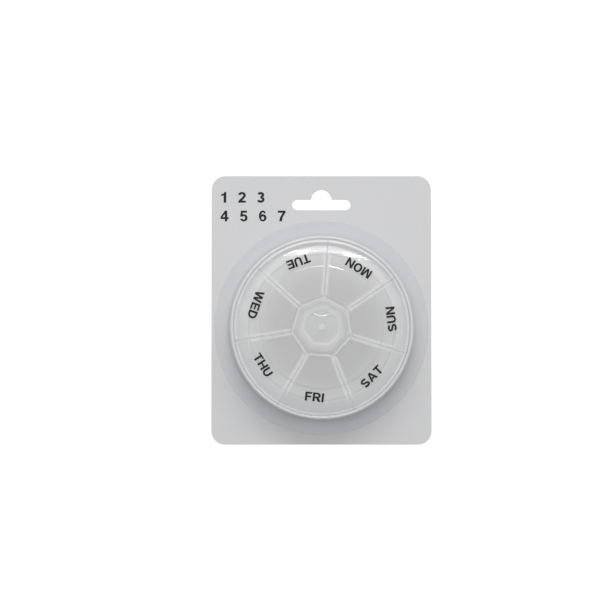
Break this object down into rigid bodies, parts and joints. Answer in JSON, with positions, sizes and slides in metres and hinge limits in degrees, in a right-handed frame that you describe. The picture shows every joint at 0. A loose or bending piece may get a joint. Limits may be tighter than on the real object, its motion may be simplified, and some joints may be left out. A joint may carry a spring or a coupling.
{
  "type": "weekly pill box",
  "caption": "Round weekly pill box of frosted plastic with wedge lids hinged at a hub, seated in a clear round cover on a hanging card.",
  "frame": {"origin": "middle of the card's back face; the pack lies on its back", "axes": "+Z out of the card's front towards the lids, +Y towards the hanging slot, +X to the right seen from the front"},
  "size_m": [0.1124, 0.1376, 0.0209],
  "materials": {
    "card_board": "matte",
    "clear_cover": "gloss",
    "frosted_base": "satin",
    "frosted_lids": "satin",
    "mark_ink": "satin"
  },
  "bodies": {
    "pack": {"backing_card": "card_board", "clear_tray": "clear_cover"},
    "box": {"compartment_base": "frosted_base", "hub_plate": "frosted_lids", "hinge_web_fri": "frosted_lids", "hinge_web_sat": "frosted_lids", "hinge_web_sun": "frosted_lids", "hinge_web_mon": "frosted_lids", "hinge_web_tue": "frosted_lids", "hinge_web_wed": "frosted_lids", "hinge_web_thu": "frosted_lids"},
    "lid_fri": {"lid_fri": "frosted_lids"},
    "lid_sat": {"lid_sat": "frosted_lids"},
    "lid_sun": {"lid_sun": "frosted_lids"},
    "lid_mon": {"lid_mon": "frosted_lids"},
    "lid_tue": {"lid_tue": "frosted_lids"},
    "lid_wed": {"lid_wed": "frosted_lids"},
    "lid_thu": {"lid_thu": "frosted_lids"}
  },
  "joints": [
    {"name": "box_lift", "type": "slide", "parent": "pack", "child": "box", "axis": [0, 0, 1], "range_m": [0, 0.03]},
    {"name": "lid_fri_hinge", "type": "hinge", "parent": "box", "child": "lid_fri", "pos_m": [-0.001, -0.02286, 0.01957], "axis": [-0.9973, 0.0732, 0], "range_deg": [0, 88], "deforming": ["hinge_web_fri"]},
    {"name": "lid_sat_hinge", "type": "hinge", "parent": "box", "child": "lid_sat", "pos_m": [0.01006, -0.0185, 0.01957], "axis": [0.6791, 0.7341, 0], "range_deg": [-88, 0], "deforming": ["hinge_web_sat"]},
    {"name": "lid_sun_hinge", "type": "hinge", "parent": "box", "child": "lid_sun", "pos_m": [0.01354, -0.00714, 0.01957], "axis": [0.1505, -0.9886, 0], "range_deg": [0, 88], "deforming": ["hinge_web_sun"]},
    {"name": "lid_mon_hinge", "type": "hinge", "parent": "box", "child": "lid_mon", "pos_m": [0.00683, 0.00267, 0.01957], "axis": [-0.8668, 0.4987, 0], "range_deg": [-88, 0], "deforming": ["hinge_web_mon"]},
    {"name": "lid_tue_hinge", "type": "hinge", "parent": "box", "child": "lid_tue", "pos_m": [-0.00502, 0.00354, 0.01957], "axis": [0.9303, 0.3667, 0], "range_deg": [0, 88], "deforming": ["hinge_web_tue"]},
    {"name": "lid_wed_hinge", "type": "hinge", "parent": "box", "child": "lid_wed", "pos_m": [-0.0131, -0.00518, 0.01957], "axis": [-0.2933, -0.956, 0], "range_deg": [-88, 0], "deforming": ["hinge_web_wed"]},
    {"name": "lid_thu_hinge", "type": "hinge", "parent": "box", "child": "lid_thu", "pos_m": [-0.01131, -0.01693, 0.01957], "axis": [-0.5646, 0.8254, 0], "range_deg": [0, 52], "deforming": ["hinge_web_thu"]}
  ]
}
